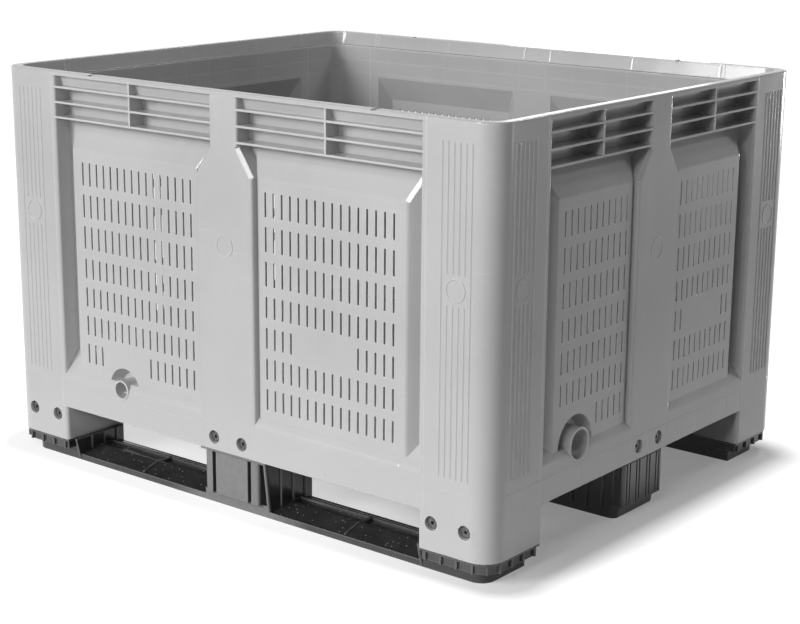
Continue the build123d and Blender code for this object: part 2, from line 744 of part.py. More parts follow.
def side_ribs(face, places, low, high):
    """Upright ribs on the outer sides of a foot. Places are pairs of the foot side and the rib crest."""
    for first, last in places:
        for rib in range(SIDE_RIB_COUNT):
            depth = SIDE_RIB_FIRST + rib * SIDE_RIB_PITCH
            block(face, (first, last), (depth - SIDE_RIB / 2, depth + SIDE_RIB / 2), (low, high))


def corner_foot(face, side):
    """A foot under a corner leg: base, ribbed flange, side plate and a hollow plug inside the leg."""
    front = SEAT_DEPTH + PLUG_SEAT_GAP
    base_back = RUNNER_INSET + RUNNER_WIDTH
    side_plate = SPAN_X - FIN_REACH
    inner = SPAN_X + FLANGE_INSET
    outer = FACE_X - FLANGE_INSET
    recess = FLANGE_INSET + FLANGE_RECESS
    plug_round = CORNER_ROUND - front
    rounded_block(
        face,
        (side * side_plate, side * (FACE_X - RUNNER_END)),
        (RUNNER_INSET, base_back),
        (0, BASE_HEIGHT),
        BASE_ROUND,
    )
    # Side plate towards the fork way, with a sloped front edge and upright ribs
    plate = [(RUNNER_INSET, 0), (front, LEG_BOTTOM), (base_back, LEG_BOTTOM), (base_back, 0)]
    rail(face, (side * side_plate, side * (side_plate + FIN)), plate)
    block(
        face,
        (side * side_plate, side * (inner + FLANGE_RECESS)),
        (RUNNER_INSET + FOOT_WALL, base_back),
        (BASE_HEIGHT, LEG_BOTTOM),
    )
    crest = side * (side_plate - SIDE_RIB_RELIEF)
    side_ribs(face, [(side * side_plate, crest)], SKID_LIP, LEG_BOTTOM)
    # Flange under the leg, recessed between a top lip and upright ribs
    rounded_block(
        face,
        (side * (inner + FLANGE_RECESS), side * (outer - FLANGE_RECESS)),
        (recess, FLANGE_BACK - FLANGE_RECESS),
        (BASE_HEIGHT, LEG_BOTTOM),
        CORNER_ROUND - recess,
    )
    rounded_block(
        face,
        (side * inner, side * outer),
        (FLANGE_INSET, FLANGE_BACK),
        (LEG_BOTTOM - FLANGE_LIP, LEG_BOTTOM),
        CORNER_ROUND - FLANGE_INSET,
    )
    for rib in range(FLANGE_RIB_COUNT):
        offset = FLANGE_RIB_FIRST + rib * FLANGE_RIB_PITCH
        place = side * (FACE_X - offset)
        block(
            face,
            (place - FLANGE_RIB / 2, place + FLANGE_RIB / 2),
            (FLANGE_INSET, recess + FLANGE_RIB),
            (BASE_HEIGHT, LEG_BOTTOM),
        )
        block(
            face,
            (side * (outer - FLANGE_RECESS - FLANGE_RIB), side * outer),
            (offset - FLANGE_RIB / 2, offset + FLANGE_RIB / 2),
            (BASE_HEIGHT, LEG_BOTTOM),
        )
    rib_reach = FLANGE_RECESS + FLANGE_RIB
    corner_angle = math.degrees(math.atan2(-1, side))
    with BuildSketch(level(face, BASE_HEIGHT)) as corner_rib:
        with Locations((side * (FACE_X - CORNER_ROUND), CORNER_ROUND)):
            with PolarLocations(CORNER_ROUND - FLANGE_INSET - rib_reach / 2, 1, corner_angle):
                Rectangle(rib_reach, FLANGE_RIB)
    extrude(corner_rib.sketch, amount=LEG_BOTTOM - BASE_HEIGHT)
    # Hollow plug inside the leg
    plug_inner = SPAN_X + SKIN + PLUG_GAP
    plug_outer = FACE_X - SKIN - PLUG_GAP
    plug_back = POST_WIDTH - SKIN - PLUG_GAP
    rounded_block(
        face,
        (side * plug_inner, side * plug_outer),
        (front, plug_back),
        (LEG_BOTTOM, PLUG_TOP),
        plug_round,
    )
    rounded_block(
        face,
        (side * (plug_inner + FOOT_WALL), side * (plug_outer - FOOT_WALL)),
        (front + FOOT_WALL, plug_back - FOOT_WALL),
        (LEG_BOTTOM, PLUG_TOP),
        plug_round - FOOT_WALL,
        Mode.SUBTRACT,
    )
    rounded_block(
        face,
        (side * (plug_inner + FOOT_WALL), side * (FACE_X - RUNNER_END - FOOT_WALL)),
        (RUNNER_INSET + FOOT_WALL, base_back - FOOT_WALL),
        (FOOT_FLOOR, LEG_BOTTOM),
        BASE_ROUND - FOOT_WALL,
        Mode.SUBTRACT,
    )
    screw_bosses(face, leg_screw_places(side), front)


def foot_body(face, foot):
    """The block of a foot, with its sloped front corners rounded."""
    profile = [
        (foot["inset"], 0),
        (PLATE_DEPTH, SKIRT_BOTTOM),
        (foot["back"], SKIRT_BOTTOM),
        (foot["back"], 0),
    ]
    with BuildPart() as body:
        rail(face, (-foot["half"], foot["half"]), profile)
        outward = Axis(face.origin, face.z_dir)
        fillet(body.edges().group_by(outward)[-2], foot["round"])
    return body.part


def middle_foot(face, foot):
    """A foot under a middle post: grooved plate, ribbed sides and a tongue into the post."""
    half = foot["half"]
    front = SEAT_DEPTH + PLUG_SEAT_GAP
    hollow_front = foot["inset"] + FOOT_WALL
    plate_top = SKIRT_BOTTOM - PLATE_LIP
    add(foot_body(face, foot))
    crest = half + SIDE_RIB_RELIEF
    side_ribs(face, [(-half, -crest), (half, crest)], SKID_LIP, SKIRT_BOTTOM)
    # Set the front back under a lip, then stand the plate in the gap
    block(face, (-half, half - foot["fin"]), (0, hollow_front), (BASE_HEIGHT, plate_top), Mode.SUBTRACT)
    plate_half = min(PLATE_HALF, half)
    with BuildSketch(level(face, BASE_HEIGHT)) as plate:
        span(-plate_half, plate_half, PLATE_DEPTH, hollow_front)
        fillet(plate.vertices().group_by(Axis.Y)[0], PLATE_ROUND)
    extrude(plate.sketch, amount=plate_top - BASE_HEIGHT)
    for place in foot["places"]:
        block(
            face,
            (place - foot["groove"] / 2, place + foot["groove"] / 2),
            (0, PLATE_DEPTH + GROOVE_DEPTH),
            (BASE_HEIGHT, plate_top),
            Mode.SUBTRACT,
        )
    block(
        face,
        (FOOT_WALL - half, half - FOOT_WALL),
        (hollow_front + FOOT_WALL, foot["back"] - FOOT_WALL),
        (FOOT_FLOOR, SKIRT_BOTTOM),
        Mode.SUBTRACT,
    )
    tongue = CORE_HALF - PLUG_GAP
    block(face, (-tongue, tongue), (front, front + FOOT_WALL), (SKIRT_BOTTOM, TONGUE_TOP))
    screw_bosses(face, post_screw_places(), front)


def side_runner(name, face):
    """The runner under a long wall: skid, two corner feet and a middle foot."""
    back = RUNNER_INSET + RUNNER_WIDTH
    crown = (
        RUNNER_INSET + SKID_LIP_WIDTH + SKID_OUTER_SLOPE,
        back - SKID_LIP_WIDTH - SKID_INNER_SLOPE,
    )
    profile = skid(RUNNER_INSET, RUNNER_WIDTH, SKID_OUTER_SLOPE, SKID_INNER_SLOPE)
    corner_side = SPAN_X - FIN_REACH
    with BuildPart() as body:
        rail(face, (-SPAN_X, SPAN_X), profile)
        for side in (-1, 1):
            skid_pockets(face, (side * FOOT_HALF, side * corner_side), crown)
            ridge = side * (FOOT_HALF + corner_side) / 2
            slope_ridge = [
                (RUNNER_INSET + SKID_LIP_WIDTH, SKID_LIP),
                (RUNNER_INSET + SKID_LIP_WIDTH, SKID_LIP + RIDGE_HEIGHT),
                (crown[0], SKID_HEIGHT + RIDGE_HEIGHT),
                (crown[0], SKID_HEIGHT),
            ]
            rail(face, (ridge - RIDGE_WIDTH / 2, ridge + RIDGE_WIDTH / 2), slope_ridge)
            corner_foot(face, side)
        middle_foot(face, wall_foot)
    save(body.part, name)


def screw_pair(name, face, places):
    """Two socket screws with low round heads, seated in their recesses."""
    top = RECESS_DEPTH - HEAD_HEIGHT
    with BuildPart() as screws:
        disc(face, places, HEAD_DIAMETER, (top, RECESS_DEPTH))
        outward = Axis(face.origin, face.z_dir)
        fillet(screws.edges().group_by(outward)[-1], HEAD_ROUND)
        disc(face, places, SCREW_DIAMETER, (RECESS_DEPTH, RECESS_DEPTH + SCREW_LENGTH))
        with BuildSketch(face.offset(-top)):
            with Locations(*places):
                RegularPolygon(SOCKET_WIDTH / 2, 6, major_radius=False)
        extrude(amount=-SOCKET_DEPTH, mode=Mode.SUBTRACT)
    save(screws.part, name)


front_drain = {
    "place": FRONT_DRAIN_PLACE,
    "height": FRONT_DRAIN_HEIGHT,
    "outer": FRONT_DRAIN_OUTER,
    "bore": FRONT_DRAIN_BORE,
    "niche": FRONT_NICHE,
    "clear": FRONT_DRAIN_CLEAR,
}
right_drain = {
    "place": RIGHT_DRAIN_PLACE,
    "height": RIGHT_DRAIN_HEIGHT,
    "outer": RIGHT_DRAIN_OUTER,
    "bore": RIGHT_DRAIN_BORE,
    "niche": RIGHT_NICHE,
    "clear": RIGHT_DRAIN_CLEAR,
}
wall("front_wall", FRONT, SPAN_X, front_drain, True)
wall("right_wall", RIGHT, SPAN_Y, right_drain)
wall("back_wall", BACK, SPAN_X, None, True)
wall("left_wall", LEFT, SPAN_Y)

corner_post("front_left_post", -1, -1)
corner_post("front_right_post", 1, -1)
corner_post("back_left_post", -1, 1)
corner_post("back_right_post", 1, 1)

# Floor deck: a slotted plate on an egg-crate of ribs
deck_x = 2 * (FACE_X - WALL_DEPTH)
deck_y = 2 * (FACE_Y - WALL_DEPTH)
cells_x = round(deck_x / GRID_PITCH)
cells_y = round(deck_y / GRID_PITCH)
cell_x = (deck_x - RIB) / cells_x
cell_y = (deck_y - RIB) / cells_y
with BuildPart() as floor_deck:
    with BuildSketch(Plane.XY.offset(SKIRT_BOTTOM)):
        RectangleRounded(deck_x, deck_y, INNER_ROUND)
        with GridLocations(cell_x, cell_y, cells_x, cells_y):
            Rectangle(cell_x - RIB, cell_y - RIB, mode=Mode.SUBTRACT)
    extrude(amount=FLOOR_BOTTOM - SKIRT_BOTTOM)
    with BuildSketch(Plane.XY.offset(FLOOR_BOTTOM)):
        RectangleRounded(deck_x, deck_y, INNER_ROUND)
        with GridLocations(cell_x, cell_y, cells_x, cells_y):
            with GridLocations(0, FLOOR_SLOT_PITCH, 1, 2):
                SlotOverall(FLOOR_SLOT, SLOT_WIDTH, mode=Mode.SUBTRACT)
    extrude(amount=FLOOR_PLATE)
save(floor_deck.part, "floor_deck")

wall_foot = {
    "half": FOOT_HALF,
    "fin": FIN,
    "round": FOOT_ROUND,
    "inset": RUNNER_INSET,
    "back": RUNNER_INSET + RUNNER_WIDTH,
    "groove": WIDE_GROOVE,
    "places": WIDE_GROOVE_PLACES,
}
end_foot = {
    "half": CENTRE_WIDTH / 2,
    "fin": 0,
    "round": END_FOOT_ROUND,
    "inset": RUNNER_END,
    "back": END_FOOT_BACK,
    "groove": NARROW_GROOVE,
    "places": NARROW_GROOVE_PLACES,
}
side_runner("front_runner", FRONT)
side_runner("back_runner", BACK)

# Centre runner along the middle, with a foot under each short wall and one in the middle
centre_start = FACE_Y - CENTRE_WIDTH / 2
centre_crown = (
    centre_start + SKID_LIP_WIDTH + SKID_OUTER_SLOPE,
    centre_start + CENTRE_WIDTH - SKID_LIP_WIDTH - SKID_OUTER_SLOPE,
)
with BuildPart() as centre_runner:
    skid_end = FACE_X - END_FOOT_BACK
    rail(FRONT, (-skid_end, skid_end), skid(centre_start, CENTRE_WIDTH, SKID_OUTER_SLOPE, SKID_OUTER_SLOPE))
    for side in (-1, 1):
        skid_pockets(FRONT, (side * FOOT_HALF, side * skid_end), centre_crown)
    centre_depth = (centre_start, centre_start + CENTRE_WIDTH)
    block(FRONT, (-FOOT_HALF, FOOT_HALF), centre_depth, (0, SKIRT_BOTTOM))
    block(
        FRONT,
        (FOOT_WALL - FOOT_HALF, FOOT_HALF - FOOT_WALL),
        (centre_depth[0] + FOOT_WALL, centre_depth[1] - FOOT_WALL),
        (FOOT_FLOOR, SKIRT_BOTTOM),
        Mode.SUBTRACT,
    )
    for end_face in (LEFT, RIGHT):
        middle_foot(end_face, end_foot)
save(centre_runner.part, "centre_runner")

screw_pair("front_left_leg_screws", FRONT, leg_screw_places(-1))
screw_pair("front_right_leg_screws", FRONT, leg_screw_places(1))
screw_pair("back_left_leg_screws", BACK, leg_screw_places(1))
screw_pair("back_right_leg_screws", BACK, leg_screw_places(-1))
screw_pair("front_centre_screws", FRONT, post_screw_places())
screw_pair("right_centre_screws", RIGHT, post_screw_places())
screw_pair("back_centre_screws", BACK, post_screw_places())
screw_pair("left_centre_screws", LEFT, post_screw_places())
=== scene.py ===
import bpy
import math
from mathutils import Matrix, Vector

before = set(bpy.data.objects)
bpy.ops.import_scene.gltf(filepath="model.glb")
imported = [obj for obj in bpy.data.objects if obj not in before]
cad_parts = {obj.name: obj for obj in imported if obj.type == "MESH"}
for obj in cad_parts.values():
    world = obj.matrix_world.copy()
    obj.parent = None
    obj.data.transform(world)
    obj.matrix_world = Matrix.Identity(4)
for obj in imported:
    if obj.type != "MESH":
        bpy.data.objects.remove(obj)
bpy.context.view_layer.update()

# Plastic bulk container on three runners. Metres, Z up, the front wall faces -Y. Every visible piece is a
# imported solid, so this script adds only materials, floor, lamps, surroundings and camera.

# Camera: frame, lens, place, and how it is turned, in degrees
IMAGE_WIDTH = 800
FOCAL_PIXELS = 1786
SENSOR_WIDTH = 36.0
CAMERA_PLACE = (2.207, -2.746, 1.189)
CAMERA_AZIMUTH = 38.72
CAMERA_PITCH = -14.35
CAMERA_ROLL = 0.45
LEVEL_TILT = 90.0

# Lamps, which all look at the middle of the container
LAMPS = {
    # Soft main light from the front left
    "key_lamp": {"watts": 585.0, "size": 3.0, "place": (-2.8, -8.0, 3.4)},
    # Mirrors in the flats at the upper corners of the front panels
    "fill_lamp": {"watts": 9.5, "size": 0.35, "place": (0.83, -2.34, 1.24)},
    # Mirrors in the flats of the front post's shoulders
    "shoulder_lamp": {"watts": 13.0, "size": 0.5, "place": (1.6, -2.75, 2.7)},
    # Low light on the right wall
    "right_lamp": {"watts": 5.0, "size": 0.8, "place": (3.3, 2.5, 0.45)},
    # Light on the left end of the front wall
    "left_lamp": {"watts": 3.0, "size": 0.9, "place": (-2.1, -2.6, 1.6)},
    # Light into the open top
    "back_lamp": {"watts": 11.0, "size": 0.5, "place": (0.45, 1.6, 2.4)},
    # Mirrors in the top of the right rim
    "rear_lamp": {"watts": 3.0, "size": 0.8, "place": (-1.6, 3.3, 1.3)},
    # Light on the back wall, which also grazes the right wall
    "behind_lamp": {"watts": 60.0, "size": 1.0, "place": (1.9, 5.0, 0.5)},
}
LOOK_AT = (0.0, 0.0, 0.4)
WORLD_LIGHT = 0.03

# Floor: half its size, half the sides of the patch under the container where its glow is painted shade, and
# how much of the floor's own glowing white shows. On the patch that rises from the shaded to the open share
# towards the front left, between two distances from the middle. Outside the patch it rises to full white,
# between two distances from its edge. The third number of the patch only keeps height out of those distances.
FLOOR_HALF = 30.0
FOOTPRINT_HALF = (0.58, 0.43, 1.0)
SHADE_WHITE = 0.22
OPEN_WHITE = 0.63
OPEN_DIRECTION = (-0.64, -0.77, 0.0)
OPEN_START = -0.2
OPEN_END = 0.3
SHADOW_START = 0.0
SHADOW_END = 0.15

# Real sizes that set the scale of the patterns
MM = 0.001
EDGE_RADIUS = 2.5 * MM
SCREW_EDGE_RADIUS = EDGE_RADIUS / 2
CLOUD_SIZE = 260 * MM
FLOW_WIDTH = 24 * MM
FLOW_LENGTH = 400 * MM
SINK_SIZE = 120 * MM
SINK_DEPTH = 0.7 * MM
GRAIN_SIZE = 2.2 * MM  # real grain is about a tenth of this, too fine to show
GRAIN_DEPTH = 0.05 * MM
SKIRT_RIB_PITCH = 58 * MM
SKIRT_RIB_WIDTH = 6 * MM
SKIRT_LOW = 118 * MM
SKIRT_HIGH = 194 * MM
RIM_LINE_WIDTH = 4 * MM
RIM_LINE_START = 697 * MM
RIM_LINE_PITCH = 29 * MM
RIM_RIB_START = 34 * MM
LONG_WALL_RIB_PITCH = 206.25 * MM
SHORT_WALL_RIB_PITCH = 156.25 * MM
SINK_LINE_DEPTH = 0.2 * MM
SCUFF_WIDTH = 3 * MM
SCUFF_LENGTH = 90 * MM
SCUFF_HEIGHT = 240 * MM
# Height from which painted floor light makes the plastic paler downwards
PAINTED_BOUNCE_HEIGHT = 420 * MM
SPECK_SPACING = 45 * MM
SWIRL_SIZE = 70 * MM
DUST_SIZE = 14 * MM
FOOT_HALF = 90 * MM
GRIT_SPACING = 10 * MM
PLATING_SIZE = 5 * MM
PLATING_GRAIN = 0.8 * MM  # real plating is finer, too fine to show

# Size of specks and grit, as a part of their spacing
SPECK_RADIUS = 0.035
GRIT_RADIUS = 0.13

# How far scuffs are turned from the walls' own directions, in radians
SCUFF_TURN = (0.2, 0.1, 0.0)

# Noise values at which a pattern starts to show and shows in full
CLOUD_START = 0.35
CLOUD_END = 0.65
FLOW_START = 0.5
FLOW_END = 0.75
SCUFF_START = 0.66
SCUFF_END = 0.74
SWIRL_START = 0.35
SWIRL_END = 0.7
PLATING_START = 0.35
PLATING_END = 0.7
PATCH_START = 0.3
PATCH_END = 0.7

# Layers of finer noise in a pattern, and how far swirls bend
PLAIN_DETAIL = 1.0
SOFT_DETAIL = 2.0
FINE_DETAIL = 3.0
RICH_DETAIL = 4.0
SWIRL_BEND = 1.6

# How far a pattern changes the colour, from 0 to 1
# Painted floor light, at the ground
PAINTED_BOUNCE_SHARE = 0.85
FLOW_SHARE = 0.12
HIGH_SCUFF_SHARE = 0.2
LOW_SCUFF_SHARE = 0.6
# Painted edge highlight on the body, partly wear
BODY_EDGE_HIGHLIGHT_AND_WEAR_SHARE = 0.4
RUNNER_EDGE_SHARE = 0.5
# Painted sheen on the inner sink lines
RIM_LINE_SHEEN_SHARE = 0.2
SPECK_SHARE = 0.6
FRONT_FILM_SHARE = 0.6
# Less film on the painted-shade copy
SHADED_FILM_SHARE = 0.15
THIN_FILM = 0.85  # what is left of the film in its thin patches
OUTER_FILM = 0.15  # what is left of it away from the middle feet

# Part of a face's normal that has to look to the front or back for film, and up for grit
FRONT_BACK_START = 0.6
FRONT_BACK_END = 0.9
UPWARD_START = 0.5
UPWARD_END = 0.8

# Part of the rays into the plastic that meet no other face within the edge radius
FLAT_OPEN = 0.96
EDGE_OPEN = 0.55
EDGE_SAMPLES = 6
BEVEL_SAMPLES = 4

# Finishes
POLYETHYLENE_IOR = 1.53
BODY_SPECULAR = 0.38
BODY_SMOOTHEST = 0.12
BODY_ROUGHEST = 0.16
RUNNER_SMOOTHEST = 0.14
RUNNER_ROUGHEST = 0.22
STEEL_SMOOTHEST = 0.3
STEEL_ROUGHEST = 0.5

# Colours
BODY_GREY = "#ADADAD"
BODY_PALE_GREY = "#B5B5B5"
# Colour of the painted floor light
PAINTED_BOUNCE_GREY = "#CACACA"
FLOW_GREY = "#C1C1C1"
SCUFF_GREY = "#CACACA"
# Colour of the painted edge highlight on the body, partly wear
BODY_EDGE_HIGHLIGHT_AND_WEAR_GREY = "#EEEEEE"
# Colour of the painted sheen on the inner sink lines
RIM_LINE_SHEEN_GREY = "#CCCCCC"
SPECK_GREY = "#707070"
FRONT_RUNNER_GREY = "#2C2C2C"
FRONT_RUNNER_PALE_GREY = "#363636"
# Painted shade: darker copy of the runner plastic for the centre and back runners
SHADED_RUNNER_GREY = "#242424"
SHADED_RUNNER_PALE_GREY = "#2E2E2E"
FILM_GREY = "#9A9A9A"
RUNNER_EDGE_GREY = "#8C8C8C"
GRIT_GREY = "#C4C4C4"
BRIGHT_ZINC = "#6C6C6C"
DULL_ZINC = "#484848"
PAPER_GREY = "#CACACA"
SKY_WHITE = "#FFFFFF"

# Sockets of the mix node for colours
COLOUR_A = 6
COLOUR_B = 7
COLOUR_OUT = 2


def linear(hex_colour):
    """Turns an sRGB hex colour into linear red, green, blue and alpha."""
    channels = []
    for start in (1, 3, 5):
        value = int(hex_colour[start:start + 2], 16) / 255
        channels.append(value / 12.92 if value <= 0.04045 else ((value + 0.055) / 1.055) ** 2.4)
    return (*channels, 1.0)


def add(tree, kind, settings=None, values=None, links=None):
    """Adds a node, sets its properties and input values, and links sockets into its inputs."""
    node = tree.nodes.new(kind)
    for name, setting in (settings or {}).items():
        setattr(node, name, setting)
    for name, value in (values or {}).items():
        node.inputs[name].default_value = value
    for name, socket in (links or {}).items():
        tree.links.new(socket, node.inputs[name])
    return node


def new_material(name):
    """A material with no nodes yet, and its node tree."""
    material = bpy.data.materials.new(name)
    material.use_nodes = True
    material.node_tree.nodes.clear()
    return material, material.node_tree


def edge_share(tree, strength):
    """How far a point lies on an edge that stands out, from 0 on flat faces up to the strength."""
    inside = add(
        tree,
        "ShaderNodeAmbientOcclusion",
        {"inside": True, "only_local": True, "samples": EDGE_SAMPLES},
        {"Distance": EDGE_RADIUS},
    )
    return add(
        tree,
        "ShaderNodeMapRange",
        values={"From Min": FLAT_OPEN, "From Max": EDGE_OPEN, "To Min": 0.0, "To Max": strength},
        links={"Value": inside.outputs["AO"]},
    )


def moulded_skin(tree, place, wave_size, under):
    """Normal of a moulded face, with slow sink waves and a fine grain on top of the normal under them."""
    wave = add(
        tree,
        "ShaderNodeTexNoise",
        values={"Scale": 1 / wave_size, "Detail": PLAIN_DETAIL},
        links={"Vector": place},
    )
    wavy = add(
        tree,
        "ShaderNodeBump",
        values={"Distance": SINK_DEPTH},
        links={"Height": wave.outputs[0], "Normal": under},
    )
    grain = add(
        tree,
        "ShaderNodeTexNoise",
        values={"Scale": 1 / GRAIN_SIZE, "Detail": SOFT_DETAIL},
        links={"Vector": place},
    )
    grained = add(
        tree,
        "ShaderNodeBump",
        values={"Distance": GRAIN_DEPTH},
        links={"Height": grain.outputs[0], "Normal": wavy.outputs[0]},
    )
    return grained.outputs[0]


def looked_at(tree):
    """Is 1 for the camera, reflections and views through clear things, and 0 for light on other surfaces."""
    path = add(tree, "ShaderNodeLightPath")
    mirrored = add(
        tree,
        "ShaderNodeMath",
        {"operation": "MAXIMUM"},
        links={0: path.outputs["Is Glossy Ray"], 1: path.outputs["Is Transmission Ray"]},
    )
    seen = add(
        tree,
        "ShaderNodeMath",
        {"operation": "MAXIMUM"},
        links={0: path.outputs["Is Camera Ray"], 1: mirrored.outputs[0]},
    )
    return seen.outputs[0]


# Injection-moulded polyethylene with grey pigment. The steel mould leaves a fine grain on walls that sink a
# little between and over their ribs, so highlights are uneven. The melt leaves faint upright flow streaks.
# Handling leaves pale scuffs low down. Painted light makes the plastic paler towards the ground, as if lit
# from the floor, and paints pale highlights along edges, which also stand for some wear.
def moulded_polyethylene():
    material, tree = new_material("moulded_polyethylene")
    place = add(tree, "ShaderNodeTexCoord").outputs["Object"]
    split = add(tree, "ShaderNodeSeparateXYZ", links={"Vector": place})
    facing = add(tree, "ShaderNodeNewGeometry")
    normal = add(tree, "ShaderNodeSeparateXYZ", links={"Vector": facing.outputs["True Normal"]})
    soft = add(tree, "ShaderNodeBevel", {"samples": BEVEL_SAMPLES}, {"Radius": EDGE_RADIUS})
    cloud = add(
        tree,
        "ShaderNodeTexNoise",
        values={"Scale": 1 / CLOUD_SIZE, "Detail": FINE_DETAIL},
        links={"Vector": place},
    )
    cloud_share = add(
        tree,
        "ShaderNodeMapRange",
        values={"From Min": CLOUD_START, "From Max": CLOUD_END},
        links={"Value": cloud.outputs[0]},
    )
    shade = add(
        tree,
        "ShaderNodeMix",
        {"data_type": "RGBA"},
        {COLOUR_A: linear(BODY_GREY), COLOUR_B: linear(BODY_PALE_GREY)},
        {"Factor": cloud_share.outputs[0]},
    )
    # Painted light: paler towards the ground, standing in for light thrown up by the floor
    painted_bounce = add(
        tree,
        "ShaderNodeMapRange",
        values={"From Min": PAINTED_BOUNCE_HEIGHT, "From Max": 0.0, "To Max": PAINTED_BOUNCE_SHARE},
        links={"Value": split.outputs["Z"]},
    )
    bounce_lit = add(
        tree,
        "ShaderNodeMix",
        {"data_type": "RGBA"},
        {COLOUR_B: linear(PAINTED_BOUNCE_GREY)},
        {"Factor": painted_bounce.outputs[0], COLOUR_A: shade.outputs[COLOUR_OUT]},
    )
    # Upright flow streaks
    flow_place = add(
        tree,
        "ShaderNodeMapping",
        values={"Scale": (1.0, 1.0, FLOW_WIDTH / FLOW_LENGTH)},
        links={"Vector": place},
    )
    flow = add(
        tree,
        "ShaderNodeTexNoise",
        values={"Scale": 1 / FLOW_WIDTH, "Detail": SOFT_DETAIL},
        links={"Vector": flow_place.outputs[0]},
    )
    flow_share = add(
        tree,
        "ShaderNodeMapRange",
        values={"From Min": FLOW_START, "From Max": FLOW_END, "To Max": FLOW_SHARE},
        links={"Value": flow.outputs[0]},
    )
    streaked = add(
        tree,
        "ShaderNodeMix",
        {"data_type": "RGBA"},
        {COLOUR_B: linear(FLOW_GREY)},
        {"Factor": flow_share.outputs[0], COLOUR_A: bounce_lit.outputs[COLOUR_OUT]},
    )
    # Scuffs along the walls, strongest near the ground
    scuff_stretch = SCUFF_WIDTH / SCUFF_LENGTH
    scuff_place = add(
        tree,
        "ShaderNodeMapping",
        values={"Scale": (scuff_stretch, scuff_stretch, 1.0), "Rotation": SCUFF_TURN},
        links={"Vector": place},
    )
    scuff = add(
        tree,
        "ShaderNodeTexNoise",
        values={"Scale": 1 / SCUFF_WIDTH, "Detail": SOFT_DETAIL},
        links={"Vector": scuff_place.outputs[0]},
    )
    scuff_line = add(
        tree,
        "ShaderNodeMapRange",
        values={"From Min": SCUFF_START, "From Max": SCUFF_END},
        links={"Value": scuff.outputs[0]},
    )
    low = add(
        tree,
        "ShaderNodeMapRange",
        values={
            "From Min": SCUFF_HEIGHT,
            "From Max": 0.0,
            "To Min": HIGH_SCUFF_SHARE,
            "To Max": LOW_SCUFF_SHARE,
        },
        links={"Value": split.outputs["Z"]},
    )
    scuff_share = add(
        tree,
        "ShaderNodeMath",
        {"operation": "MULTIPLY"},
        links={0: scuff_line.outputs[0], 1: low.outputs[0]},
    )
    scuffed = add(
        tree,
        "ShaderNodeMix",
        {"data_type": "RGBA"},
        {COLOUR_B: linear(SCUFF_GREY)},
        {"Factor": scuff_share.outputs[0], COLOUR_A: streaked.outputs[COLOUR_OUT]},
    )
    # Paler edges: a painted highlight along the edges that stand out, partly also wear
    edge = edge_share(tree, BODY_EDGE_HIGHLIGHT_AND_WEAR_SHARE)
    pale_edged = add(
        tree,
        "ShaderNodeMix",
        {"data_type": "RGBA"},
        {COLOUR_B: linear(BODY_EDGE_HIGHLIGHT_AND_WEAR_GREY)},
        {"Factor": edge.outputs[0], COLOUR_A: scuffed.outputs[COLOUR_OUT]},
    )
    # Sink lines over the hidden ribs of the skirt
    sideways = add(tree, "ShaderNodeMath", {"operation": "ABSOLUTE"}, links={0: normal.outputs["X"]})
    along = add(
        tree,
        "ShaderNodeMix",
        links={"Factor": sideways.outputs[0], "A": split.outputs["X"], "B": split.outputs["Y"]},
    )
    from_skirt_rib = add(
        tree,
        "ShaderNodeMath",
        {"operation": "PINGPONG"},
        {1: SKIRT_RIB_PITCH / 2},
        {0: along.outputs[0]},
    )
    skirt_line = add(
        tree,
        "ShaderNodeMapRange",
        {"interpolation_type": "SMOOTHSTEP"},
        {"From Min": SKIRT_RIB_WIDTH, "From Max": 0.0},
        {"Value": from_skirt_rib.outputs[0]},
    )
    above_edge = add(
        tree,
        "ShaderNodeMath",
        {"operation": "GREATER_THAN"},
        {1: SKIRT_LOW},
        {0: split.outputs["Z"]},
    )
    below_sill = add(
        tree,
        "ShaderNodeMath",
        {"operation": "LESS_THAN"},
        {1: SKIRT_HIGH},
        {0: split.outputs["Z"]},
    )
    skirt = add(
        tree,
        "ShaderNodeMath",
        {"operation": "MULTIPLY"},
        links={0: above_edge.outputs[0], 1: below_sill.outputs[0]},
    )
    skirt_sink = add(
        tree,
        "ShaderNodeMath",
        {"operation": "MULTIPLY"},
        links={0: skirt.outputs[0], 1: skirt_line.outputs[0]},
    )
    # Sink lines inside, over the ribs under the rim. The sink is a bump; their pale colour is a painted sheen
    half_pitch = add(
        tree,
        "ShaderNodeMix",
        values={"A": LONG_WALL_RIB_PITCH / 2, "B": SHORT_WALL_RIB_PITCH / 2},
        links={"Factor": sideways.outputs[0]},
    )
    from_middle = add(tree, "ShaderNodeMath", {"operation": "ABSOLUTE"}, links={0: along.outputs[0]})
    from_first = add(
        tree,
        "ShaderNodeMath",
        {"operation": "SUBTRACT"},
        {1: RIM_RIB_START},
        {0: from_middle.outputs[0]},
    )
    from_upright = add(
        tree,
        "ShaderNodeMath",
        {"operation": "PINGPONG"},
        links={0: from_first.outputs[0], 1: half_pitch.outputs[0]},
    )
    from_low = add(
        tree,
        "ShaderNodeMath",
        {"operation": "SUBTRACT"},
        {1: RIM_LINE_START},
        {0: split.outputs["Z"]},
    )
    from_level = add(
        tree,
        "ShaderNodeMath",
        {"operation": "PINGPONG"},
        {1: RIM_LINE_PITCH / 2},
        {0: from_low.outputs[0]},
    )
    from_rim_rib = add(
        tree,
        "ShaderNodeMath",
        {"operation": "MINIMUM"},
        links={0: from_upright.outputs[0], 1: from_level.outputs[0]},
    )
    rim_line = add(
        tree,
        "ShaderNodeMapRange",
        {"interpolation_type": "SMOOTHSTEP"},
        {"From Min": RIM_LINE_WIDTH, "From Max": 0.0},
        {"Value": from_rim_rib.outputs[0]},
    )
    near_rim = add(
        tree,
        "ShaderNodeMath",
        {"operation": "GREATER_THAN"},
        {1: -RIM_LINE_WIDTH},
        {0: from_low.outputs[0]},
    )
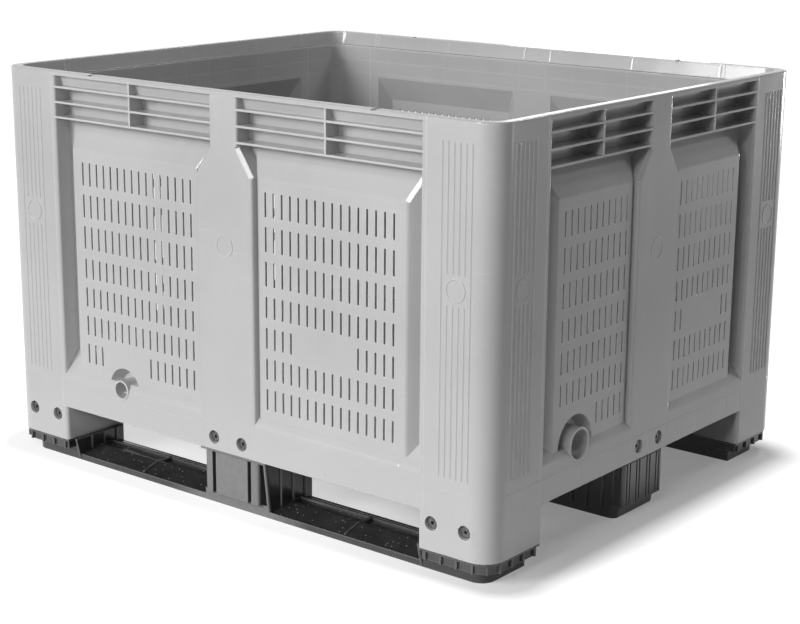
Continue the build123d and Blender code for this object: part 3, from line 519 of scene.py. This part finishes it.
    outward = add(
        tree,
        "ShaderNodeVectorMath",
        {"operation": "DOT_PRODUCT"},
        links={0: place, 1: facing.outputs["True Normal"]},
    )
    inward = add(
        tree,
        "ShaderNodeMath",
        {"operation": "LESS_THAN"},
        {1: 0.0},
        {0: outward.outputs["Value"]},
    )
    inner_band = add(
        tree,
        "ShaderNodeMath",
        {"operation": "MULTIPLY"},
        links={0: near_rim.outputs[0], 1: inward.outputs[0]},
    )
    rim_sink = add(
        tree,
        "ShaderNodeMath",
        {"operation": "MULTIPLY"},
        links={0: inner_band.outputs[0], 1: rim_line.outputs[0]},
    )
    sink_line = add(
        tree,
        "ShaderNodeMath",
        {"operation": "MAXIMUM"},
        links={0: skirt_sink.outputs[0], 1: rim_sink.outputs[0]},
    )
    # Painted sheen: the inner sink lines are made paler in colour
    sheen_share = add(
        tree,
        "ShaderNodeMath",
        {"operation": "MULTIPLY"},
        {1: RIM_LINE_SHEEN_SHARE},
        {0: rim_sink.outputs[0]},
    )
    sheen_lined = add(
        tree,
        "ShaderNodeMix",
        {"data_type": "RGBA"},
        {COLOUR_B: linear(RIM_LINE_SHEEN_GREY)},
        {"Factor": sheen_share.outputs[0], COLOUR_A: pale_edged.outputs[COLOUR_OUT]},
    )
    # Dark specks of stray pigment
    cell = add(tree, "ShaderNodeTexVoronoi", values={"Scale": 1 / SPECK_SPACING}, links={"Vector": place})
    dot = add(
        tree,
        "ShaderNodeMapRange",
        values={"From Min": SPECK_RADIUS, "From Max": SPECK_RADIUS / 2, "To Max": SPECK_SHARE},
        links={"Value": cell.outputs["Distance"]},
    )
    colour = add(
        tree,
        "ShaderNodeMix",
        {"data_type": "RGBA"},
        {COLOUR_B: linear(SPECK_GREY)},
        {"Factor": dot.outputs[0], COLOUR_A: sheen_lined.outputs[COLOUR_OUT]},
    )
    sunk = add(
        tree,
        "ShaderNodeBump",
        {"invert": True},
        {"Distance": SINK_LINE_DEPTH},
        {"Height": sink_line.outputs[0], "Normal": soft.outputs[0]},
    )
    rough = add(
        tree,
        "ShaderNodeMapRange",
        values={
            "From Min": PATCH_START,
            "From Max": PATCH_END,
            "To Min": BODY_SMOOTHEST,
            "To Max": BODY_ROUGHEST,
        },
        links={"Value": flow.outputs[0]},
    )
    shader = add(
        tree,
        "ShaderNodeBsdfPrincipled",
        values={"IOR": POLYETHYLENE_IOR, "Specular IOR Level": BODY_SPECULAR},
        links={
            "Base Color": colour.outputs[COLOUR_OUT],
            "Roughness": rough.outputs[0],
            "Normal": moulded_skin(tree, place, SINK_SIZE, sunk.outputs[0]),
        },
    )
    add(tree, "ShaderNodeOutputMaterial", links={"Surface": shader.outputs[0]})
    return material


# Injection-moulded recycled polyethylene. Mixed regrind gives a dark grey with paler swirls and a smooth,
# glossy skin. A pale film on faces that look to the front or back, most of it on the middle feet, stands for
# fork scratches and is partly painted light, which keeps the shaded ends darker. Floors rub the edges, and
# grit leaves pale specks on the faces that look up.
def recycled_polyethylene(name, dark, pale, film):
    material, tree = new_material(name)
    place = add(tree, "ShaderNodeTexCoord").outputs["Object"]
    facing = add(tree, "ShaderNodeNewGeometry")
    normal = add(tree, "ShaderNodeSeparateXYZ", links={"Vector": facing.outputs["True Normal"]})
    soft = add(tree, "ShaderNodeBevel", {"samples": BEVEL_SAMPLES}, {"Radius": EDGE_RADIUS})
    swirl = add(
        tree,
        "ShaderNodeTexNoise",
        values={"Scale": 1 / SWIRL_SIZE, "Detail": RICH_DETAIL, "Distortion": SWIRL_BEND},
        links={"Vector": place},
    )
    swirl_share = add(
        tree,
        "ShaderNodeMapRange",
        values={"From Min": SWIRL_START, "From Max": SWIRL_END},
        links={"Value": swirl.outputs[0]},
    )
    shade = add(
        tree,
        "ShaderNodeMix",
        {"data_type": "RGBA"},
        {COLOUR_A: linear(dark), COLOUR_B: linear(pale)},
        {"Factor": swirl_share.outputs[0]},
    )
    # Film of fine scratches, partly painted light that makes faces looking front or back paler than the ends
    dust = add(
        tree,
        "ShaderNodeTexNoise",
        values={"Scale": 1 / DUST_SIZE, "Detail": FINE_DETAIL},
        links={"Vector": place},
    )
    film_patch = add(
        tree,
        "ShaderNodeMapRange",
        values={"From Min": PATCH_START, "From Max": PATCH_END, "To Min": THIN_FILM * film, "To Max": film},
        links={"Value": dust.outputs[0]},
    )
    lengthways = add(tree, "ShaderNodeMath", {"operation": "ABSOLUTE"}, links={0: normal.outputs["Y"]})
    front_back_face = add(
        tree,
        "ShaderNodeMapRange",
        values={"From Min": FRONT_BACK_START, "From Max": FRONT_BACK_END},
        links={"Value": lengthways.outputs[0]},
    )
    split = add(tree, "ShaderNodeSeparateXYZ", links={"Vector": place})
    from_middle = add(tree, "ShaderNodeMath", {"operation": "ABSOLUTE"}, links={0: split.outputs["X"]})
    middle_foot = add(
        tree,
        "ShaderNodeMapRange",
        values={"From Min": 2 * FOOT_HALF, "From Max": FOOT_HALF, "To Min": OUTER_FILM},
        links={"Value": from_middle.outputs[0]},
    )
    side_film = add(
        tree,
        "ShaderNodeMath",
        {"operation": "MULTIPLY"},
        links={0: film_patch.outputs[0], 1: front_back_face.outputs[0]},
    )
    film_share = add(
        tree,
        "ShaderNodeMath",
        {"operation": "MULTIPLY"},
        links={0: side_film.outputs[0], 1: middle_foot.outputs[0]},
    )
    filmed = add(
        tree,
        "ShaderNodeMix",
        {"data_type": "RGBA"},
        {COLOUR_B: linear(FILM_GREY)},
        {"Factor": film_share.outputs[0], COLOUR_A: shade.outputs[COLOUR_OUT]},
    )
    edge = edge_share(tree, RUNNER_EDGE_SHARE)
    pale_edged = add(
        tree,
        "ShaderNodeMix",
        {"data_type": "RGBA"},
        {COLOUR_B: linear(RUNNER_EDGE_GREY)},
        {"Factor": edge.outputs[0], COLOUR_A: filmed.outputs[COLOUR_OUT]},
    )
    # Specks of grit on faces that look up
    cell = add(tree, "ShaderNodeTexVoronoi", values={"Scale": 1 / GRIT_SPACING}, links={"Vector": place})
    dot = add(
        tree,
        "ShaderNodeMapRange",
        values={"From Min": GRIT_RADIUS, "From Max": GRIT_RADIUS / 2},
        links={"Value": cell.outputs["Distance"]},
    )
    upward = add(
        tree,
        "ShaderNodeMapRange",
        values={"From Min": UPWARD_START, "From Max": UPWARD_END},
        links={"Value": normal.outputs["Z"]},
    )
    grit_share = add(
        tree,
        "ShaderNodeMath",
        {"operation": "MULTIPLY"},
        links={0: dot.outputs[0], 1: upward.outputs[0]},
    )
    colour = add(
        tree,
        "ShaderNodeMix",
        {"data_type": "RGBA"},
        {COLOUR_B: linear(GRIT_GREY)},
        {"Factor": grit_share.outputs[0], COLOUR_A: pale_edged.outputs[COLOUR_OUT]},
    )
    rough = add(
        tree,
        "ShaderNodeMapRange",
        values={
            "From Min": PATCH_START,
            "From Max": PATCH_END,
            "To Min": RUNNER_SMOOTHEST,
            "To Max": RUNNER_ROUGHEST,
        },
        links={"Value": dust.outputs[0]},
    )
    shader = add(
        tree,
        "ShaderNodeBsdfPrincipled",
        values={"IOR": POLYETHYLENE_IOR},
        links={
            "Base Color": colour.outputs[COLOUR_OUT],
            "Roughness": rough.outputs[0],
            "Normal": moulded_skin(tree, place, SWIRL_SIZE, soft.outputs[0]),
        },
    )
    add(tree, "ShaderNodeOutputMaterial", links={"Surface": shader.outputs[0]})
    return material


# Zinc-plated steel, cold headed and barrel plated: a slightly clouded metal with a dull film in places.
def zinc_plated_steel():
    material, tree = new_material("zinc_plated_steel")
    place = add(tree, "ShaderNodeTexCoord").outputs["Object"]
    soft = add(tree, "ShaderNodeBevel", {"samples": BEVEL_SAMPLES}, {"Radius": SCREW_EDGE_RADIUS})
    film = add(
        tree,
        "ShaderNodeTexNoise",
        values={"Scale": 1 / PLATING_SIZE, "Detail": RICH_DETAIL},
        links={"Vector": place},
    )
    film_share = add(
        tree,
        "ShaderNodeMapRange",
        values={"From Min": PLATING_START, "From Max": PLATING_END},
        links={"Value": film.outputs[0]},
    )
    colour = add(
        tree,
        "ShaderNodeMix",
        {"data_type": "RGBA"},
        {COLOUR_A: linear(BRIGHT_ZINC), COLOUR_B: linear(DULL_ZINC)},
        {"Factor": film_share.outputs[0]},
    )
    rough = add(
        tree,
        "ShaderNodeMapRange",
        values={
            "From Min": PATCH_START,
            "From Max": PATCH_END,
            "To Min": STEEL_SMOOTHEST,
            "To Max": STEEL_ROUGHEST,
        },
        links={"Value": film.outputs[0]},
    )
    plating = add(
        tree,
        "ShaderNodeTexNoise",
        values={"Scale": 1 / PLATING_GRAIN, "Detail": PLAIN_DETAIL},
        links={"Vector": place},
    )
    plated = add(
        tree,
        "ShaderNodeBump",
        values={"Distance": GRAIN_DEPTH},
        links={"Height": plating.outputs[0], "Normal": soft.outputs[0]},
    )
    shader = add(
        tree,
        "ShaderNodeBsdfPrincipled",
        values={"Metallic": 1.0},
        links={
            "Base Color": colour.outputs[COLOUR_OUT],
            "Roughness": rough.outputs[0],
            "Normal": plated.outputs[0],
        },
    )
    add(tree, "ShaderNodeOutputMaterial", links={"Surface": shader.outputs[0]})
    return material


# Matt paper under the container, which also glows white to the eye. Its glow is painted shade near the
# container, weakest on the side away from the key lamp, and plain white further away; the lamps' shadow falls
# on it too.
def studio_paper():
    material, tree = new_material("studio_paper")
    place = add(tree, "ShaderNodeTexCoord").outputs["Object"]
    towards_front_left = add(
        tree,
        "ShaderNodeVectorMath",
        {"operation": "DOT_PRODUCT"},
        {1: OPEN_DIRECTION},
        {0: place},
    )
    opened = add(
        tree,
        "ShaderNodeMapRange",
        {"interpolation_type": "SMOOTHSTEP"},
        {"From Min": OPEN_START, "From Max": OPEN_END, "To Min": SHADE_WHITE, "To Max": OPEN_WHITE},
        {"Value": towards_front_left.outputs["Value"]},
    )
    one_quarter = add(tree, "ShaderNodeVectorMath", {"operation": "ABSOLUTE"}, links={0: place})
    beyond = add(
        tree,
        "ShaderNodeVectorMath",
        {"operation": "SUBTRACT"},
        {1: FOOTPRINT_HALF},
        {0: one_quarter.outputs[0]},
    )
    outside = add(tree, "ShaderNodeVectorMath", {"operation": "MAXIMUM"}, links={0: beyond.outputs[0]})
    distance = add(tree, "ShaderNodeVectorMath", {"operation": "LENGTH"}, links={0: outside.outputs[0]})
    far = add(
        tree,
        "ShaderNodeMapRange",
        {"interpolation_type": "SMOOTHSTEP"},
        {"From Min": SHADOW_START, "From Max": SHADOW_END},
        {"Value": distance.outputs["Value"]},
    )
    # Painted shade: the glow is weaker under and beside the container, most of all away from the key lamp
    white = add(
        tree,
        "ShaderNodeMath",
        {"operation": "MAXIMUM"},
        links={0: opened.outputs[0], 1: far.outputs[0]},
    )
    glow = add(
        tree,
        "ShaderNodeMath",
        {"operation": "MULTIPLY"},
        links={0: white.outputs[0], 1: looked_at(tree)},
    )
    paper = add(tree, "ShaderNodeBsdfDiffuse", values={"Color": linear(PAPER_GREY)})
    shine = add(tree, "ShaderNodeEmission", links={"Strength": glow.outputs[0]})
    both = add(tree, "ShaderNodeAddShader", links={0: paper.outputs[0], 1: shine.outputs[0]})
    add(tree, "ShaderNodeOutputMaterial", links={"Surface": both.outputs[0]})
    return material


def lay_floor():
    """A large sheet of paper under the runners."""
    corners = [(-1, -1), (1, -1), (1, 1), (-1, 1)]
    mesh = bpy.data.meshes.new("floor")
    mesh.from_pydata([(x * FLOOR_HALF, y * FLOOR_HALF, 0.0) for x, y in corners], [], [(0, 1, 2, 3)])
    mesh.materials.append(studio_paper())
    floor = bpy.data.objects.new("floor", mesh)
    bpy.context.scene.collection.objects.link(floor)


def hang_lamp(name, watts, size, place):
    """A square soft lamp that looks at the middle of the container."""
    lamp = bpy.data.lights.new(name, "AREA")
    lamp.energy = watts
    lamp.size = size
    holder = bpy.data.objects.new(name, lamp)
    holder.location = place
    holder.rotation_euler = (Vector(LOOK_AT) - Vector(place)).to_track_quat("-Z", "Y").to_euler()
    bpy.context.scene.collection.objects.link(holder)


def set_world():
    """White surroundings to look at, which light the container only a little."""
    world = bpy.data.worlds.new("studio")
    world.use_nodes = True
    tree = world.node_tree
    tree.nodes.clear()
    strength = add(
        tree,
        "ShaderNodeMapRange",
        values={"To Min": WORLD_LIGHT, "To Max": 1.0},
        links={"Value": looked_at(tree)},
    )
    sky = add(
        tree,
        "ShaderNodeBackground",
        values={"Color": linear(SKY_WHITE)},
        links={"Strength": strength.outputs[0]},
    )
    add(tree, "ShaderNodeOutputWorld", links={"Surface": sky.outputs[0]})
    bpy.context.scene.world = world


def set_camera():
    """The camera at the photograph's viewing angle."""
    lens = bpy.data.cameras.new("camera")
    lens.sensor_width = SENSOR_WIDTH
    lens.lens = FOCAL_PIXELS * SENSOR_WIDTH / IMAGE_WIDTH
    camera = bpy.data.objects.new("camera", lens)
    turn = Matrix.Rotation(math.radians(CAMERA_AZIMUTH), 4, "Z")
    tilt = Matrix.Rotation(math.radians(LEVEL_TILT + CAMERA_PITCH), 4, "X")
    roll = Matrix.Rotation(math.radians(CAMERA_ROLL), 4, "Z")
    camera.matrix_world = Matrix.Translation(CAMERA_PLACE) @ turn @ tilt @ roll
    bpy.context.scene.collection.objects.link(camera)
    bpy.context.scene.camera = camera


def dress(nodes, material):
    """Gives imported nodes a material."""
    for name in nodes:
        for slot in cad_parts[name].material_slots:
            slot.material = material


body_nodes = [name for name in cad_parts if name.endswith(("_wall", "_post", "_deck"))]
screw_nodes = [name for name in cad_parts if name.endswith("_screws")]
front_plastic = recycled_polyethylene(
    "recycled_polyethylene",
    FRONT_RUNNER_GREY,
    FRONT_RUNNER_PALE_GREY,
    FRONT_FILM_SHARE,
)
# Painted shade: the centre and back runners, which stand in shade, get a darker copy of the same plastic with
# less film
shaded_plastic = recycled_polyethylene(
    "shaded_recycled_polyethylene",
    SHADED_RUNNER_GREY,
    SHADED_RUNNER_PALE_GREY,
    SHADED_FILM_SHARE,
)
dress(body_nodes, moulded_polyethylene())
dress(["front_runner"], front_plastic)
dress(["centre_runner", "back_runner"], shaded_plastic)
dress(screw_nodes, zinc_plated_steel())

lay_floor()
for lamp_name, lamp_values in LAMPS.items():
    hang_lamp(lamp_name, **lamp_values)
set_world()
set_camera()
bpy.context.scene.view_settings.view_transform = "Standard"
